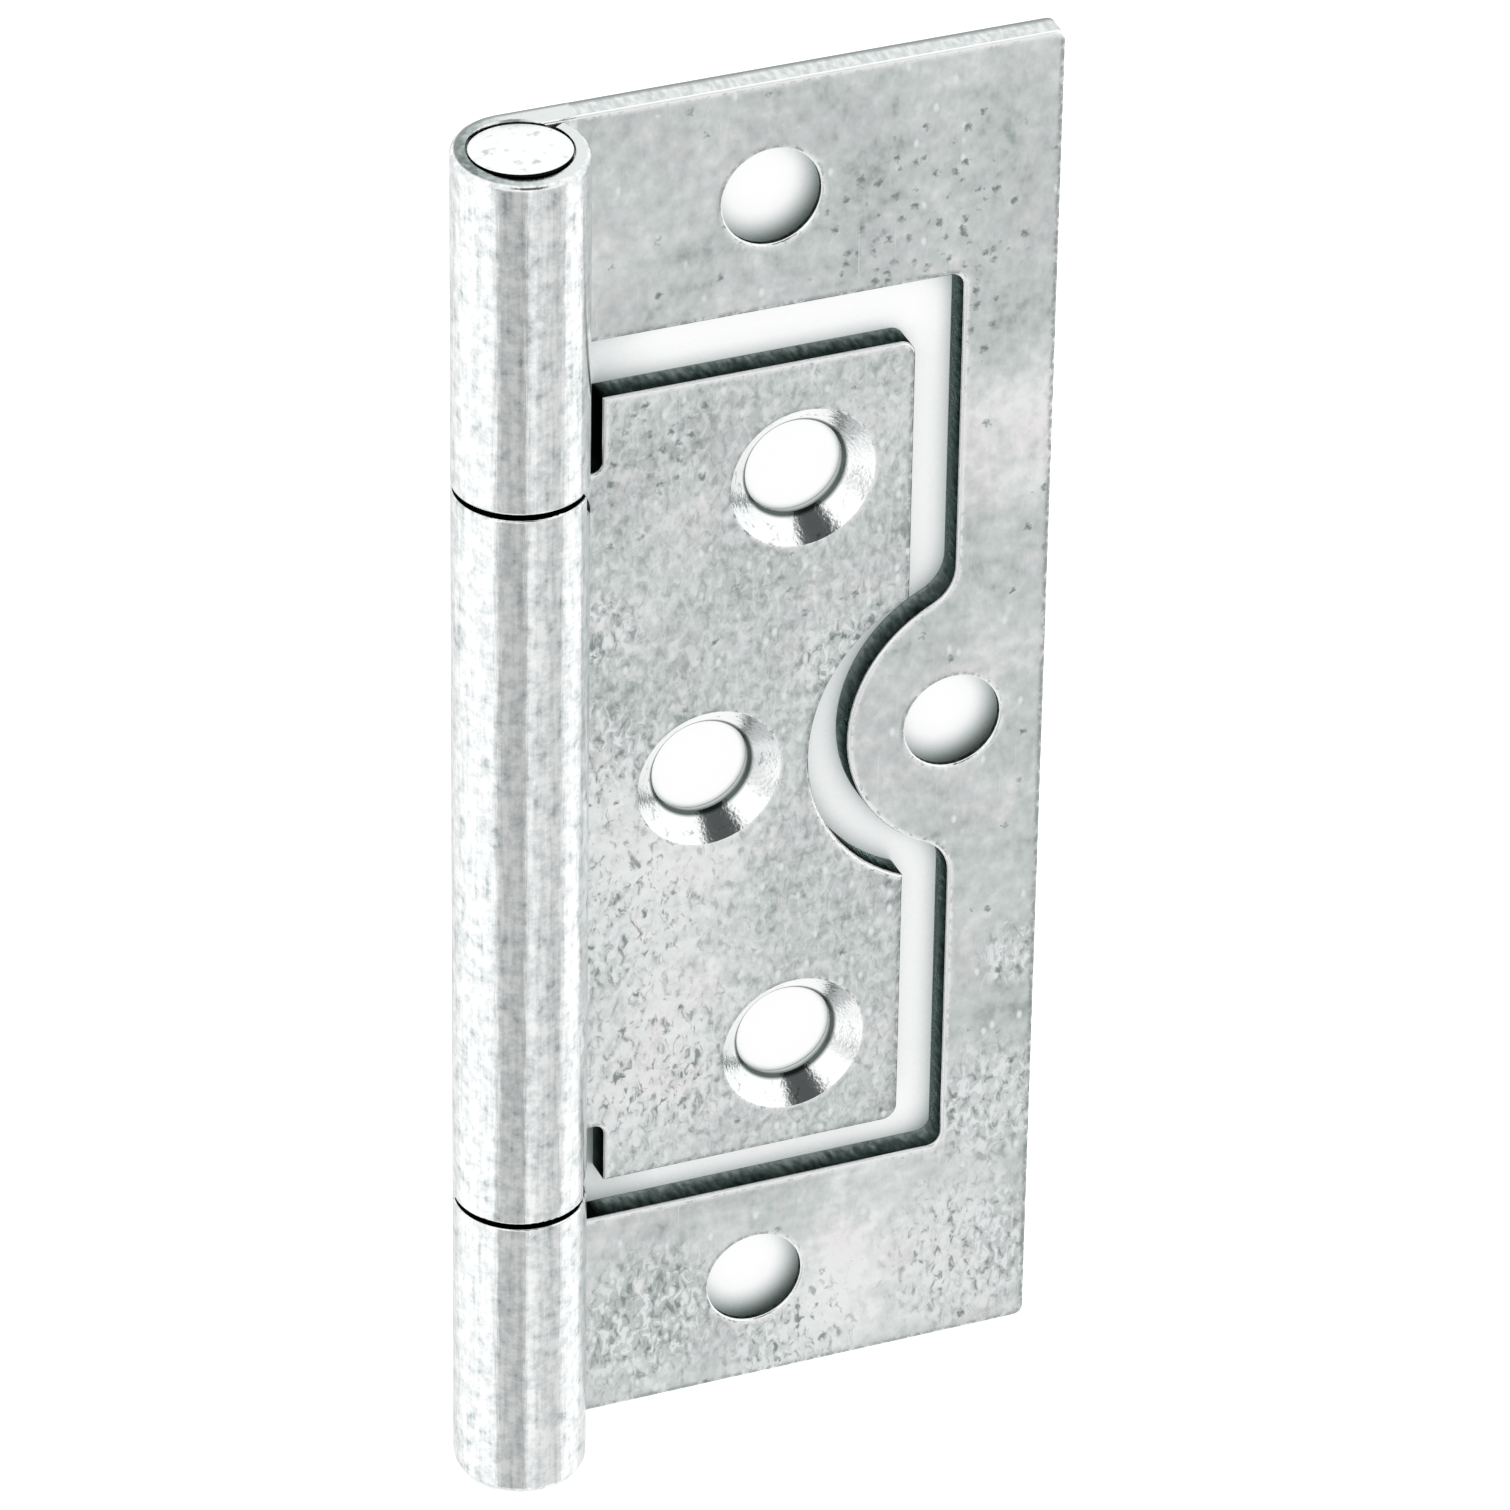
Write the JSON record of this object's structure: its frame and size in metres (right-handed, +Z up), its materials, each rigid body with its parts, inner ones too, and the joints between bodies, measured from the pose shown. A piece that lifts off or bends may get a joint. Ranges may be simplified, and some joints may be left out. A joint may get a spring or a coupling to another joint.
{
  "type": "flush hinge",
  "caption": "Flush hinge: a steel door leaf folds into a window in the frame leaf, and both turn on one riveted pin.",
  "frame": {"origin": "midway between the frame leaf's top and bottom screw holes, on the face that lies against the door frame", "axes": "+Z up along the pin, +X from the barrel to the leaves' free edges, -Y out of the seat face to the side the barrel stands out from"},
  "size_m": [0.0324, 0.0068, 0.0765],
  "materials": {
    "zinc_plated_steel": "bright zinc plating, mottled, lightly scratched",
    "pin_steel": "bright zinc plating on a peened steel pin"
  },
  "bodies": {
    "frame_leaf": {"outer_leaf": "zinc_plated_steel", "hinge_pin": "pin_steel"},
    "door_leaf": {"inner_leaf": "zinc_plated_steel"}
  },
  "joints": [
    {"name": "leaf_swing", "type": "hinge", "parent": "frame_leaf", "child": "door_leaf", "pos_m": [-0.0137, -0.0018, 0], "axis": [0, 0, -1], "continuous": true}
  ]
}
